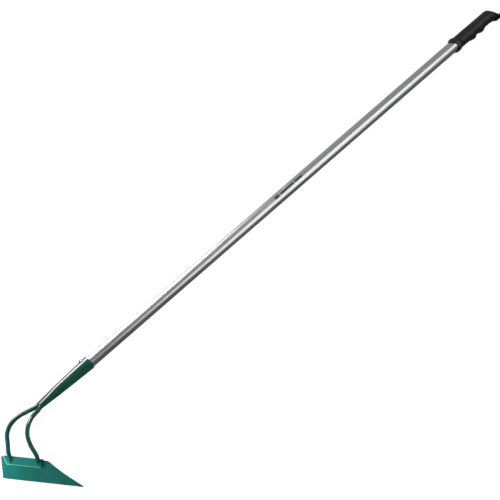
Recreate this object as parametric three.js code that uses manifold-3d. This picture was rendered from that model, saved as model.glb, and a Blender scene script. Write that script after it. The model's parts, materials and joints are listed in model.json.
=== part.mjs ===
// Stirrup-necked hoe with a pointed blade, in millimetres, +Z up.
// The hoe stands in its working position: the cutting edge lies along X on the ground, the point
// is towards +X, and the handle rises towards +Y, where the gardener stands. The head is drawn round
// the middle of its cutting edge; at the end the whole hoe is moved so that its origin is in the
// middle of the grip, where the gardener's hand holds it.
import * as THREE from 'three';
import { mergeVertices } from 'three/addons/utils/BufferGeometryUtils.js';
import Module from 'manifold-3d';

const wasm = await Module();
wasm.setup();

// ---- driving dimensions (mm, degrees) ----
const GAP = 0.3; // clearance kept between pieces that touch

const SHEET = 2; // blade steel
const BLADE_HEIGHT = 45.5; // ground to the top of the plain sheet, measured up the sheet
const BLADE_LEAN = 7; // the top of the blade leans away from the gardener
const BLADE_LEFT = -72.5; // square end of the blade
const BLADE_SHOULDER = 61; // top corner where the long slope to the point starts
const BLADE_POINT = 153.5; // end of the point
const POINT_HEIGHT = 1.5; // height left at the very point
const BLADE_CORNER = 3.5; // radius of the lower corner at the square end
const TOP_CORNER = 1.5; // radius of the upper one
const EDGE_BEVEL = 5; // width of the ground bevel behind the cutting edge
const EDGE_LAND = 1.3; // flat left on the cutting edge

const HEM_LEFT = -62; // where the folded hem starts, at its bend
const HEM_RIGHT = 48; // square end of the hem
const HEM_RADIUS = 2; // bend radius, to the middle of the sheet
const HEM_LEG = 15; // length of the flat part of the hem
const HEM_OPENING = 21; // angle between the hem and the blade

const ROD = 9; // diameter of the arms
const FOOT_SPREAD = 38.5; // each foot's distance from the middle
const FOOT_PLACE = 0.3; // how far down the hem's leg the feet stand, as a share of it
const SOCKET_FOOT = new THREE.Vector3(0, 31.5, 149); // middle of the socket's small end
const HANDLE_YAW = 26.4; // turn of the handle from +Y towards the point
const HANDLE_RISE = 38.35; // climb of the handle above the ground

const SOCKET_LENGTH = 137;
const SOCKET_MOUTH_R = 14.5;
const SOCKET_FOOT_R = 8.8;
const SOCKET_WALL = 1.6;
const SOCKET_OVAL = 60; // length over which the round socket flattens to an oval
const SOCKET_SPREAD = 0.32; // how much wider the oval end is than round
const SOCKET_PINCH = 0.12; // how much flatter it is
const ARM_SEAT = 44; // length of each arm inside the socket
const ROD_SIDES = 14;

const TUBE_R = 12.5;
const TUBE_WALL = 1.3;
const TUBE_SEAT = 70; // length of the swaged end inside the socket
const GRIP_START = 1200; // along the handle, from the socket's small end
const GRIP_LENGTH = 131.5;
const TUBE_IN_GRIP = 100;
const HAND_HOLD = 1265; // middle of the gardener's hand, along the handle

const GRIP_R = 14.3;
const GRIP_TAPER = 0.5;
const LIP_BULGE = 2.3; // height of the rounded collar
const LIP_LENGTH = 17;
const LIP_SCOOP = 9; // how far the collar is cut back at the two sides
const RIDGE_HEIGHT = 3.9; // finger ridges under the grip
const RIDGES = [[36, 57, 65], [65, 81, 90]]; // where each ridge starts, crests and ends
const HEEL_DROP = 4.4; // swelling under the end of the grip
const HEEL_RISE = [96, 118]; // where that swelling grows
const END_SLANT = 0.7; // slope of the end face, lower edge furthest out
const END_DEPTH = 12; // length of the rounded end
const END_ROUND = 3; // squareness of its edge, 2 for a plain dome

const TAB = { thick: 3, width: 24, reach: 24, hole: 11, drop: 14.8 }; // hanging eye

const SCREW = { along: 124, shank: 3.9, head: 9.5, headHeight: 2.8, length: 11, recess: 3.2 };
const FOOT_BEAD = { leg: 2.1, stretch: 1.35, height: 3 };
const SOCKET_BEAD = { overlap: 1.6, height: 3.4 };

const X_AXIS = new THREE.Vector3(1, 0, 0);
const Z_AXIS = new THREE.Vector3(0, 0, 1);

// ---- solids: three.js shapes in, manifold solids for joining and cutting ----
function solid(geometry) {
  const bare = geometry.clone();
  bare.deleteAttribute('normal');
  bare.deleteAttribute('uv');
  const merged = mergeVertices(bare, 1e-4);
  const mesh = new wasm.Mesh({
    numProp: 3,
    vertProperties: Float32Array.from(merged.attributes.position.array),
    triVerts: Uint32Array.from(merged.index.array),
  });
  return new wasm.Manifold(mesh);
}

function geometryOf(manifold) {
  const mesh = manifold.getMesh();
  const geometry = new THREE.BufferGeometry();
  geometry.setAttribute('position', new THREE.BufferAttribute(Float32Array.from(mesh.vertProperties), 3));
  geometry.setIndex(new THREE.BufferAttribute(Uint32Array.from(mesh.triVerts), 1));
  geometry.computeVertexNormals();
  return geometry;
}

// A box that stands for everything below a plane: the plane passes through `point`, facing `normal`.
function halfSpace(point, normal, size = 400) {
  const box = new THREE.BoxGeometry(size, size, size);
  box.translate(0, 0, -size / 2);
  const turn = new THREE.Quaternion().setFromUnitVectors(Z_AXIS, normal.clone().normalize());
  box.applyQuaternion(turn).translate(point.x, point.y, point.z);
  return solid(box);
}

const radians = THREE.MathUtils.degToRad;
const smooth = THREE.MathUtils.smoothstep;

// ---- blade: flat pointed sheet with an open hem folded outwards along its top ----
const lean = radians(BLADE_LEAN);
const sheetUp = new THREE.Vector3(0, -Math.sin(lean), Math.cos(lean));
const sheetBack = new THREE.Vector3(0, Math.cos(lean), Math.sin(lean)); // towards the gardener

const sheetSet = (SHEET - EDGE_LAND) / 2; // the sheet's middle, behind the middle of the land

// Place of a point given across the blade (x), back from the sheet's middle and up the sheet.
function onBlade(x, back, up) {
  return new THREE.Vector3(x, 0, 0)
    .addScaledVector(sheetBack, back + sheetSet)
    .addScaledVector(sheetUp, up);
}

function bladeOutline() {
  const below = -6; // the sheet starts below the ground and is cut off level with it
  const shoulder = { run: 6, drop: 4, pull: 1 };
  const hollow = { back: 50, height: BLADE_HEIGHT * 0.45 }; // what bends the long slope
  const shape = new THREE.Shape();
  shape.moveTo(BLADE_LEFT + BLADE_CORNER, below);
  shape.lineTo(BLADE_POINT, below);
  shape.lineTo(BLADE_POINT, POINT_HEIGHT);
  shape.quadraticCurveTo(
    BLADE_POINT - hollow.back, hollow.height,
    BLADE_SHOULDER + shoulder.run, BLADE_HEIGHT - shoulder.drop,
  );
  shape.quadraticCurveTo(
    BLADE_SHOULDER + shoulder.pull, BLADE_HEIGHT,
    BLADE_SHOULDER - shoulder.run, BLADE_HEIGHT,
  );
  shape.lineTo(BLADE_LEFT + TOP_CORNER, BLADE_HEIGHT);
  shape.quadraticCurveTo(BLADE_LEFT, BLADE_HEIGHT, BLADE_LEFT, BLADE_HEIGHT - TOP_CORNER);
  shape.lineTo(BLADE_LEFT, BLADE_CORNER);
  shape.quadraticCurveTo(BLADE_LEFT, 0, BLADE_LEFT + BLADE_CORNER, 0);
  return shape;
}

// Section of the hem: up the sheet, round the bend and down the open leg.
const hemAngle = radians(180 - HEM_OPENING);
const hemLegDirection = new THREE.Vector2(-Math.sin(hemAngle), Math.cos(hemAngle));
const hemBendEnd = new THREE.Vector2(
  -HEM_RADIUS + HEM_RADIUS * Math.cos(hemAngle),
  BLADE_HEIGHT + HEM_RADIUS * Math.sin(hemAngle),
);

function hemSection() {
  const half = SHEET / 2;
  const root = BLADE_HEIGHT - 6; // it starts inside the sheet, to join it
  const shape = new THREE.Shape();
  shape.moveTo(half, root);
  shape.lineTo(half, BLADE_HEIGHT);
  shape.absarc(-HEM_RADIUS, BLADE_HEIGHT, HEM_RADIUS + half, 0, hemAngle, false);
  const outwards = new THREE.Vector2(hemLegDirection.y, -hemLegDirection.x).multiplyScalar(half);
  const tip = hemBendEnd.clone().addScaledVector(hemLegDirection, HEM_LEG);
  shape.lineTo(tip.x + outwards.x, tip.y + outwards.y);
  shape.lineTo(tip.x - outwards.x, tip.y - outwards.y);
  shape.lineTo(hemBendEnd.x - outwards.x, hemBendEnd.y - outwards.y);
  shape.absarc(-HEM_RADIUS, BLADE_HEIGHT, HEM_RADIUS - half, hemAngle, 0, true);
  shape.lineTo(-half, root);
  return shape;
}

// The blade is drawn flat with its height along Y, then turned up to stand with its lean.
const upright = new THREE.Matrix4()
  .makeBasis(X_AXIS, sheetUp, sheetBack.clone().negate())
  .setPosition(onBlade(0, 0, 0));

// The hem's section has its X out of the sheet and its extrusion along the blade.
const hemPlace = new THREE.Matrix4()
  .makeBasis(sheetBack, sheetUp, X_AXIS)
  .setPosition(onBlade(HEM_LEFT, 0, 0));

function makeBlade() {
  const plain = { bevelEnabled: false, curveSegments: 8 };
  const flat = new THREE.ExtrudeGeometry(bladeOutline(), { depth: SHEET, ...plain });
  flat.translate(0, 0, -SHEET / 2);
  const hem = new THREE.ExtrudeGeometry(hemSection(), { depth: HEM_RIGHT - HEM_LEFT, ...plain });
  hem.applyMatrix4(hemPlace);
  // The left end of the hem is mitred at 45 degrees, longest at the bend.
  const mitre = halfSpace(onBlade(HEM_LEFT, 0, BLADE_HEIGHT + 1), sheetUp.clone().add(X_AXIS));
  const sheetSide = halfSpace(onBlade(0, -SHEET / 2 - 0.01, 0), sheetBack.clone().negate());
  const leg = solid(hem).subtract(mitre.subtract(sheetSide));
  return solid(flat.applyMatrix4(upright))
    .add(leg)
    .subtract(behindBevel())
    .subtract(halfSpace(new THREE.Vector3(), Z_AXIS));
}

// What the grinding takes off the gardener's side of the cutting edge.
function behindBevel() {
  const top = onBlade(0, SHEET / 2, EDGE_BEVEL);
  const bottom = onBlade(0, EDGE_LAND - SHEET / 2, 0);
  const slope = top.clone().sub(bottom).normalize();
  return halfSpace(top, X_AXIS.clone().cross(slope));
}

// ---- the handle's own frame: X to the side, Y to the underside, Z along the handle ----
const yaw = radians(HANDLE_YAW);
const rise = radians(HANDLE_RISE);
const side = new THREE.Vector3(Math.cos(yaw), -Math.sin(yaw), 0);
const along = new THREE.Vector3(Math.sin(yaw), Math.cos(yaw), 0)
  .multiplyScalar(Math.cos(rise))
  .addScaledVector(Z_AXIS, Math.sin(rise));
const under = along.clone().cross(side);
const handleFrame = new THREE.Matrix4().makeBasis(side, under, along).setPosition(SOCKET_FOOT);

function onHandle(x, y, z) {
  return new THREE.Vector3(x, y, z).applyMatrix4(handleFrame);
}

// ---- arms: two bent rods from the socket down to the hem ----
// The outer face of the hem's leg, on which both feet stand.
const downHem = sheetBack.clone().multiplyScalar(hemLegDirection.x)
  .addScaledVector(sheetUp, hemLegDirection.y);
const hemFace = downHem.clone().cross(X_AXIS).normalize();
const hemMiddle = onBlade(0, hemBendEnd.x, hemBendEnd.y)
  .addScaledVector(downHem, HEM_LEG * FOOT_PLACE)
  .addScaledVector(hemFace, SHEET / 2);

// sign is -1 for the left arm and +1 for the right arm.
function armCurve(sign) {
  const seat = sign * (ROD / 2 + GAP);
  const foot = hemMiddle.clone().setX(sign * FOOT_SPREAD);
  const shin = new THREE.Vector3(-sign * 0.12, 0.4, -1).normalize().negate();
  return new THREE.CatmullRomCurve3([
    onHandle(seat, 0, ARM_SEAT),
    onHandle(seat, 0, ARM_SEAT * 0.64),
    onHandle(seat, 0, 10),
    onHandle(seat * 1.03, 0, 1),
    new THREE.Vector3(sign * 8.8, 21.5, 143.2),
    new THREE.Vector3(sign * 12.4, 12, 139),
    new THREE.Vector3(sign * 19.8, -11, 128),
    new THREE.Vector3(sign * 25.4, -26.5, 112),
    new THREE.Vector3(sign * 29, -31, 95),
    new THREE.Vector3(sign * 33, -25.5, 75),
    foot.clone().addScaledVector(shin, 14),
    foot,
    foot.clone().addScaledVector(shin, -9),
  ], false, 'centripetal');
}

// One whole arm before its foot is cut, thicker by the clearance where it is used to cut others.
function makeRod(sign, clearance) {
  const section = new THREE.Shape().absarc(0, 0, ROD / 2 + clearance, 0, Math.PI * 2, false);
  return new THREE.ExtrudeGeometry(section, {
    extrudePath: armCurve(sign),
    steps: 54,
    curveSegments: ROD_SIDES / 2,
    bevelEnabled: false,
  });
}

function makeArm(sign) {
  return solid(makeRod(sign, 0)).subtract(behindHem(sign));
}

// The hem's leg behind one foot, with the clearance, as a block to cut with.
function behindHem(sign) {
  const face = hemMiddle.clone().setX(sign * FOOT_SPREAD).addScaledVector(hemFace, GAP);
  return halfSpace(face, hemFace, 30);
}

// ---- weld beads: one round each foot, and one that fills the socket's mouth round both arms ----
function makeFootBead(sign) {
  const bead = new THREE.SphereGeometry(1, 20, 14);
  const across = ROD / 2 + FOOT_BEAD.leg;
  bead.scale(across, across * FOOT_BEAD.stretch, FOOT_BEAD.height);
  const turn = new THREE.Matrix4().makeBasis(X_AXIS, hemFace.clone().cross(X_AXIS), hemFace);
  bead.applyMatrix4(turn).translate(sign * FOOT_SPREAD, hemMiddle.y, hemMiddle.z);
  return solid(bead)
    .subtract(solid(makeRod(sign, GAP)))
    .subtract(behindHem(sign));
}

function makeSocketBead() {
  const bead = new THREE.SphereGeometry(1, 24, 14);
  bead.scale(SOCKET_FOOT_R + SOCKET_BEAD.overlap, SOCKET_FOOT_R - GAP, SOCKET_BEAD.height);
  const socketEnd = halfSpace(onHandle(0, 0, -GAP), along.clone().negate());
  return solid(bead.applyMatrix4(handleFrame)).subtract(socketEnd)
    .subtract(solid(makeRod(-1, GAP)))
    .subtract(solid(makeRod(1, GAP)));
}

// ---- socket: a tapered steel sleeve, round at its mouth and oval where it closes on the arms ----
function socketRadius(z) {
  return THREE.MathUtils.lerp(SOCKET_FOOT_R, SOCKET_MOUTH_R, z / SOCKET_LENGTH);
}

function closedLathe(points, segments) {
  const loop = [...points, points[0]].map(([r, z]) => new THREE.Vector2(r, z));
  const lathe = new THREE.LatheGeometry(loop, segments);
  return lathe.rotateX(Math.PI / 2); // the lathe's Y axis becomes Z
}

function makeSocket(hole) {
  const outer = [0, 15, 30, 45, 60, SOCKET_LENGTH].map((z) => [socketRadius(z), z]);
  const inner = outer.map(([r, z]) => [r - SOCKET_WALL, z]).reverse();
  const sleeve = closedLathe([...outer, ...inner], 36);
  const place = sleeve.attributes.position;
  for (let i = 0; i < place.count; i += 1) {
    const flat = 1 - smooth(place.getZ(i), 0, SOCKET_OVAL);
    place.setX(i, place.getX(i) * (1 + SOCKET_SPREAD * flat));
    place.setY(i, place.getY(i) * (1 - SOCKET_PINCH * flat));
  }
  // Its small end is pressed round the arms where they bend out of it.
  const intoHandle = handleFrame.clone().invert();
  const passage = [-1, 1].map((sign) => solid(makeRod(sign, GAP).applyMatrix4(intoHandle)));
  return solid(sleeve).subtract(hole).subtract(passage[0]).subtract(passage[1]);
}

// ---- handle tube: straight, with its lower end swaged down to follow the socket ----
function makeTube(hole) {
  const seatTop = SOCKET_LENGTH - 2;
  const seatFoot = seatTop - TUBE_SEAT;
  const fit = (z) => socketRadius(z) - SOCKET_WALL - GAP - 0.05;
  const outer = [
    [fit(seatFoot), seatFoot],
    [fit(seatTop), seatTop],
    [TUBE_R, SOCKET_LENGTH + 1],
    [TUBE_R, GRIP_START + TUBE_IN_GRIP],
  ];
  const inner = outer.map(([r, z]) => [r - TUBE_WALL, z]).reverse();
  return solid(closedLathe([...outer, ...inner], 36)).subtract(hole);
}

// ---- screw through the top of the socket into the tube ----
function makeScrew() {
  const { shank, head, headHeight, length, recess } = SCREW;
  const seat = socketRadius(SCREW.along) + GAP;
  const tip = 2.5;
  const profile = [
    [0, -length], [shank * 0.2, -length], [shank / 2, tip - length], [shank / 2, 0],
    [head / 2, 0], [head / 2, headHeight * 0.35], [head * 0.4, headHeight * 0.8],
    [head * 0.2, headHeight], [0, headHeight],
  ];
  const outline = profile.map(([r, z]) => new THREE.Vector2(r, z));
  let body = solid(new THREE.LatheGeometry(outline, 20));
  for (const turn of [0, Math.PI / 2]) {
    const slot = new THREE.BoxGeometry(head / 2, recess, recess / 3);
    body = body.subtract(solid(slot.rotateY(turn).translate(0, headHeight, 0)));
  }
  // The lathe's axis is Y: the head faces away from the underside, square to the socket's wall.
  return geometryOf(body).rotateX(Math.PI).translate(0, -seat, SCREW.along);
}

function screwHole(radius) {
  const depth = 30;
  const drill = new THREE.CylinderGeometry(radius, radius, depth, 16);
  return solid(drill.translate(0, -depth / 2, SCREW.along));
}

// ---- grip: moulded sleeve with finger ridges, a slanted end and a hanging eye ----
// How far the underside stands out at a place along the grip: two finger ridges and the heel.
function underHeight(z) {
  const ridges = RIDGES.map(([start, crest, end]) => smooth(z, start, crest) * (1 - smooth(z, crest, end)));
  return RIDGE_HEIGHT * Math.max(...ridges) + HEEL_DROP * smooth(z, ...HEEL_RISE);
}

// Point of the grip's skin: turn goes round it, s from 0 at the lip to 1 in the middle of its end.
function gripPoint(turn, s) {
  const shoulder = 0.86; // share of s spent on the sleeve, before the end starts to close
  const straight = Math.min(s / shoulder, 1);
  const closing = Math.max((s - shoulder) / (1 - shoulder), 0);
  const sleeve = GRIP_LENGTH - END_DEPTH - 4;
  const z = straight * sleeve + (1 - (1 - closing) ** 2) * END_DEPTH;
  const towardsUnder = Math.max(Math.sin(turn), 0);
  const scoop = LIP_SCOOP * Math.cos(turn) ** 2 * (1 - smooth(z, 0, 45));
  const lipStart = 1.5;
  const lip = LIP_BULGE * Math.sin(Math.PI * Math.min((z + lipStart) / (LIP_LENGTH + lipStart), 1));
  const closed = Math.max(1 - closing ** END_ROUND, 0) ** (1 / END_ROUND);
  const skin = GRIP_R - GRIP_TAPER * smooth(z, 20, 110) + lip + underHeight(z) * towardsUnder ** 2;
  const y = skin * closed * Math.sin(turn);
  const slant = END_SLANT * y * smooth(z, 78, 112);
  return new THREE.Vector3(skin * closed * Math.cos(turn), y, GRIP_START + z + scoop + slant);
}

function makeGrip() {
  const around = 32;
  const lengthwise = 56;
  // A closed cylinder gives the grid: its side and its two end caps are moved onto the grip's surface.
  const grid = new THREE.CylinderGeometry(1, 1, 1, around, lengthwise);
  const place = grid.attributes.position;
  for (let i = 0; i < place.count; i += 1) {
    const [x, height, z] = [place.getX(i), place.getY(i), place.getZ(i)];
    const onAxis = Math.hypot(x, z) < 1e-6;
    const s = Math.min(0.5 + height, 0.9995);
    const point = gripPoint(Math.atan2(-z, x), s);
    if (onAxis) point.set(0, 0, height > 0 ? point.z : GRIP_START + LIP_SCOOP / 2);
    place.setXYZ(i, point.x, point.y, point.z);
  }
  const boreEnd = GRIP_START + TUBE_IN_GRIP + 1;
  const boreLength = TUBE_IN_GRIP + 40;
  const bore = new THREE.CylinderGeometry(TUBE_R + GAP, TUBE_R + GAP, boreLength, 36);
  bore.rotateX(Math.PI / 2).translate(0, 0, boreEnd - boreLength / 2);
  return solid(grid).add(makeHangingEye()).subtract(solid(bore));
}

function makeHangingEye() {
  const { thick, width, reach, hole, drop } = TAB;
  const root = GRIP_LENGTH - 13; // inside the end of the grip, to join it
  const end = GRIP_LENGTH + reach - width / 2;
  const shape = new THREE.Shape();
  shape.moveTo(-width / 2, root);
  shape.lineTo(width / 2, root);
  shape.lineTo(width / 2, end);
  shape.absarc(0, end, width / 2, 0, Math.PI, false);
  shape.holes.push(new THREE.Path().absarc(0, end, hole / 2, 0, Math.PI * 2, true));
  const plate = new THREE.ExtrudeGeometry(shape, {
    depth: thick, bevelEnabled: false, curveSegments: 12,
  });
  // The outline's Y runs along the handle and its thickness towards the underside.
  const towardsUnder = new THREE.Vector3(0, 1, 0);
  plate.applyMatrix4(new THREE.Matrix4().makeBasis(X_AXIS.clone().negate(), Z_AXIS, towardsUnder));
  return solid(plate.translate(0, drop, GRIP_START));
}

// ---- finishes and assembly ----
const finish = {
  bladePaint: new THREE.MeshStandardMaterial({ color: 0x1f7a6b, roughness: 0.42, metalness: 0.1 }),
  socketPaint: new THREE.MeshStandardMaterial({ color: 0x06483a, roughness: 0.25, metalness: 0.1 }),
  aluminium: new THREE.MeshStandardMaterial({ color: 0xb9bbbc, roughness: 0.35, metalness: 1 }),
  zinc: new THREE.MeshStandardMaterial({ color: 0xa9acae, roughness: 0.3, metalness: 1 }),
  blackPlastic: new THREE.MeshStandardMaterial({ color: 0x1b1b1b, roughness: 0.55, metalness: 0 }),
};

function piece(name, shape, material) {
  const mesh = new THREE.Mesh(shape.isBufferGeometry ? shape : geometryOf(shape), material);
  mesh.name = name;
  return mesh;
}

const drilling = screwHole(SCREW.shank / 2 + GAP);

const head = new THREE.Group();
head.add(piece('blade', makeBlade(), finish.bladePaint));
for (const [name, sign] of [['left', -1], ['right', 1]]) {
  head.add(piece(`arm_${name}`, makeArm(sign), finish.socketPaint));
  head.add(piece(`foot_weld_${name}`, makeFootBead(sign), finish.bladePaint));
}
head.add(piece('socket_weld', makeSocketBead(), finish.socketPaint));

const handle = new THREE.Group();
handle.applyMatrix4(handleFrame);
handle.add(piece('socket', makeSocket(drilling), finish.socketPaint));
handle.add(piece('handle_tube', makeTube(drilling), finish.aluminium));
handle.add(piece('socket_screw', makeScrew(), finish.zinc));
handle.add(piece('grip', makeGrip(), finish.blackPlastic));

const hoe = new THREE.Group();
hoe.add(head, handle);
hoe.position.copy(onHandle(0, 0, HAND_HOLD)).negate();

export default hoe;
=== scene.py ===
# %% [markdown]
# # A long-handled garden hoe
# This notebook dresses a hoe that has already been designed as solids: a pointed blade, two bowed
# arms, a tapered socket, a tube and a moulded grip. The solids give every size and place. Here each
# piece is made again as a fine mesh with rounded edges, and gets a finish that looks like the real one.

# %% Load the frame
import json
import math
import bmesh
import bpy
import numpy as np
from mathutils import Matrix, Vector


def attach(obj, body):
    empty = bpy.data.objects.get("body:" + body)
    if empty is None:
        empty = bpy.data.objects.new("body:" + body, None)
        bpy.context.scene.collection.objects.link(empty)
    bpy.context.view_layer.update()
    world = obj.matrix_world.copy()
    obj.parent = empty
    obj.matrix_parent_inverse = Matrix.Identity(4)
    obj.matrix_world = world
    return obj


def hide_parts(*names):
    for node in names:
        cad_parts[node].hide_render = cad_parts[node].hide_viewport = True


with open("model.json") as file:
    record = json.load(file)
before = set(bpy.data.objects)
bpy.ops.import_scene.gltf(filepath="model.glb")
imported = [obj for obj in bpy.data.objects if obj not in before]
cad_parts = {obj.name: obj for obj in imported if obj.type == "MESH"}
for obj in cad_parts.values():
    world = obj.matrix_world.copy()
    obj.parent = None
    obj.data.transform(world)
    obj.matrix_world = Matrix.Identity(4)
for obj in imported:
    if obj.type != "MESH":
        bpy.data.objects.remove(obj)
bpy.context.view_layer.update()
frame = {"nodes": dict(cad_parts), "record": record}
print("solids loaded:", ", ".join(sorted(frame["nodes"])))

# %% [markdown]
# ## Where things are
# A long tool is easiest to build in its own directions. The head is drawn round the middle of the
# cutting edge, with Z straight up. The handle is drawn along its own Z, with X to its side and Y
# towards its underside. The named mounts of the solids say where both of these frames stand, so
# nothing has to be fitted by eye. The same frames are used again in the materials, so that a texture
# can run along the tube without any unwrapping.

# %% Frames of the head and the handle
MM = 0.001
HAND_HOLD = 1265  # from the socket's small end to the middle of the hand, along the handle

mounts = {mount["name"]: mount for mount in frame["record"]["mounts"]}
edge_middle = Vector(mounts["cutting_edge"]["pos_m"])
along = Vector(mounts["grip_hold"]["axis"]).normalized()
under = Vector(mounts["hanging_eye"]["axis"]).normalized()
side = under.cross(along)


def frame_matrix(x_axis, y_axis, z_axis, place):
    turn = Matrix((x_axis, y_axis, z_axis)).transposed().to_4x4()
    return Matrix.Translation(place) @ turn


head_frame = Matrix.Translation(edge_middle)
handle_frame = frame_matrix(side, under, along, along * (-HAND_HOLD * MM))
print("the handle climbs", round(math.degrees(math.asin(along.z)), 1), "degrees")

# %% [markdown]
# ## The camera
# A tool this long is best taken from far away with a long lens, so that the blade near the camera
# and the grip far behind keep nearly the same scale. The camera stands a little above the ground and
# forty degrees round from the front, and looks at a point about half-way up the handle.

# %% Camera
CAMERA_TURN = math.radians(40.03)
CAMERA_RISE = math.radians(1.37)
CAMERA_REACH = 5.191
LOOK_AT = Vector((0.0708, 0.6077, 0.4541))  # from the middle of the cutting edge
FOCAL_LENGTH, SENSOR_WIDTH = 171.4, 36
NEAREST, FARTHEST = 0.05, 400

level = math.cos(CAMERA_RISE)
towards_camera = Vector((math.sin(CAMERA_TURN) * level, -math.cos(CAMERA_TURN) * level,
                         math.sin(CAMERA_RISE)))
camera_right = Vector((math.cos(CAMERA_TURN), math.sin(CAMERA_TURN), 0))
camera_up = towards_camera.cross(camera_right)
look_at = edge_middle + LOOK_AT

lens = bpy.data.cameras.new("long_lens")
lens.lens = FOCAL_LENGTH
lens.sensor_width = SENSOR_WIDTH
lens.clip_start = NEAREST
lens.clip_end = FARTHEST
camera = bpy.data.objects.new("camera", lens)
bpy.context.scene.collection.objects.link(camera)
camera.matrix_world = frame_matrix(camera_right, camera_up, towards_camera,
                                   look_at + towards_camera * CAMERA_REACH)
bpy.context.scene.camera = camera
print("camera", round(camera.location.z - edge_middle.z, 3), "m above the ground")

# %% [markdown]
# ## Making meshes from rules
# Everything on this hoe is a sheet, a bar or a turned shape, so a few helpers do most of the work.
# One makes an object of a list of points and faces. One joins rings of points with faces, and one
# turns a profile round an axis, as a lathe does. Real edges are never perfectly sharp, and a small
# bevel that catches the light says "metal" more than any colour does, so another helper rounds the
# edges.

# %% Mesh helpers
SAME_POINT = 1e-7  # metres; points nearer than this are joined


def make_object(name, points, faces, matrix):
    """An object from points in millimetres in a frame of its own, with its faces turned outwards."""
    mesh = bpy.data.meshes.new(name)
    mesh.from_pydata([matrix @ (Vector(p) * MM) for p in points], [], faces)
    tidy = bmesh.new()
    tidy.from_mesh(mesh)
    bmesh.ops.remove_doubles(tidy, verts=tidy.verts, dist=SAME_POINT)
    bmesh.ops.recalc_face_normals(tidy, faces=tidy.faces)
    tidy.to_mesh(mesh)
    tidy.free()
    obj = bpy.data.objects.new(name, mesh)
    bpy.context.scene.collection.objects.link(obj)
    return obj


def apply_modifiers(obj):
    """Bakes the modifiers into the mesh, so that the next step works on their result."""
    graph = bpy.context.evaluated_depsgraph_get()
    finished = bpy.data.meshes.new_from_object(obj.evaluated_get(graph))
    obj.modifiers.clear()
    obj.data = finished


def round_edges(obj, width, segments=3, sharper_than=40):
    """Rounds the edges that are sharper than an angle, and keeps the flats between them flat."""
    bevel = obj.modifiers.new("rounded edges", "BEVEL")
    bevel.width = width * MM
    bevel.segments = segments
    bevel.limit_method = "ANGLE"
    bevel.angle_limit = math.radians(sharper_than)
    apply_modifiers(obj)


def shade(obj, crease=50):
    """Smooth shading that stops at edges sharper than crease, with the flats kept flat."""
    obj.data.shade_smooth()
    obj.data.set_sharp_from_angle(angle=math.radians(crease))
    weighted = obj.modifiers.new("flat flats", "WEIGHTED_NORMAL")
    weighted.keep_sharp = True
    apply_modifiers(obj)


def finish_piece(obj, material, slot, *nodes):
    """Gives a piece its finish, lets it ride on the tool and hides the solids it stands for."""
    obj.data.materials.clear()
    obj.data.materials.append(material)
    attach(obj, "root")
    if nodes:
        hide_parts(*nodes)
    print(f"{obj.name}: {len(obj.data.polygons)} faces, finish {material.name}")


def bridge(rings, closed=False):
    """Faces between rings of equal count; closed joins the last ring to the first as well."""
    faces = []
    count = len(rings)
    for a in range(count if closed else count - 1):
        near, far = rings[a], rings[(a + 1) % count]
        sides = len(near)
        for i in range(sides):
            j = (i + 1) % sides
            faces.append((near[i], near[j], far[j], far[i]))
    return faces


def number_rings(rings):
    """All points of some rings in one list, and the rings again as indices into it."""
    points, indices = [], []
    for ring in rings:
        indices.append(list(range(len(points), len(points) + len(ring))))
        points.extend(ring)
    return points, indices


def turn_ring(radius, height, sides):
    turns = [2 * math.pi * i / sides for i in range(sides)]
    return [(radius * math.cos(t), radius * math.sin(t), height) for t in turns]


def lathe(name, profile, sides, matrix, closed=False, shape=None):
    """Turns (radius, height) points round Z. shape may move each point afterwards."""
    rings = [turn_ring(radius, height, sides) for radius, height in profile]
    if shape:
        rings = [[shape(*point) for point in ring] for ring in rings]
    points, indices = number_rings(rings)
    return make_object(name, points, bridge(indices, closed), matrix)


print("mesh helpers ready")

# %% [markdown]
# ## Finishes from noise
# Each finish is built from a few procedural textures. They are read in the frame of the head or the
# handle, in metres, so a noise scale of 1000 gives grains about a millimetre across. A slow
# noise shifts the colour a little, a finer one changes how rough the surface is, and a bump adds the
# relief that is too small to model: the "orange peel" of enamel, drawing lines or moulded grain.

# %% Node helpers


def start_finish(name, roughness=0.5, **fixed):
    """A new material and its tree. Values that are the same all over go on the shader itself."""
    material = bpy.data.materials.new(name)
    material.use_nodes = True
    tree = material.node_tree
    shader = tree.nodes["Principled BSDF"]
    shader.inputs["Roughness"].default_value = roughness
    for socket, value in fixed.items():
        shader.inputs[socket.replace("_", " ")].default_value = value
    return material, tree, shader


def add(tree, kind, inputs=None, **settings):
    node = tree.nodes.new(kind)
    for key, value in settings.items():
        setattr(node, key, value)
    for key, value in (inputs or {}).items():
        if isinstance(value, bpy.types.NodeSocket):
            tree.links.new(value, node.inputs[key])
        else:
            node.inputs[key].default_value = value
    return node


def own_coordinates(tree, home=Matrix(), stretch=(1, 1, 1)):
    """The surface's place in a frame of its own, drawn out along the axes that stretch makes small."""
    place = add(tree, "ShaderNodeTexCoord").outputs["Object"]
    frame_of_piece = {"Vector": place, "Location": home.to_translation(), "Rotation": home.to_euler()}
    place = add(tree, "ShaderNodeMapping", frame_of_piece, vector_type="TEXTURE").outputs["Vector"]
    return add(tree, "ShaderNodeMapping", {"Vector": place, "Scale": stretch}).outputs["Vector"]


def noise(tree, place, scale, detail=3.0, roughness=0.5):
    values = {"Vector": place, "Scale": scale, "Detail": detail, "Roughness": roughness}
    return add(tree, "ShaderNodeTexNoise", values).outputs["Fac"]


def spread(tree, value, low, high, start=0.3, end=0.7):
    """Maps a noise, which mostly lies between start and end, onto low to high."""
    values = {"Value": value, "From Min": start, "From Max": end, "To Min": low, "To Max": high}
    return add(tree, "ShaderNodeMapRange", values).outputs["Result"]


def calculate(tree, operation, first, second):
    return add(tree, "ShaderNodeMath", {0: first, 1: second}, operation=operation).outputs[0]


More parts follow.
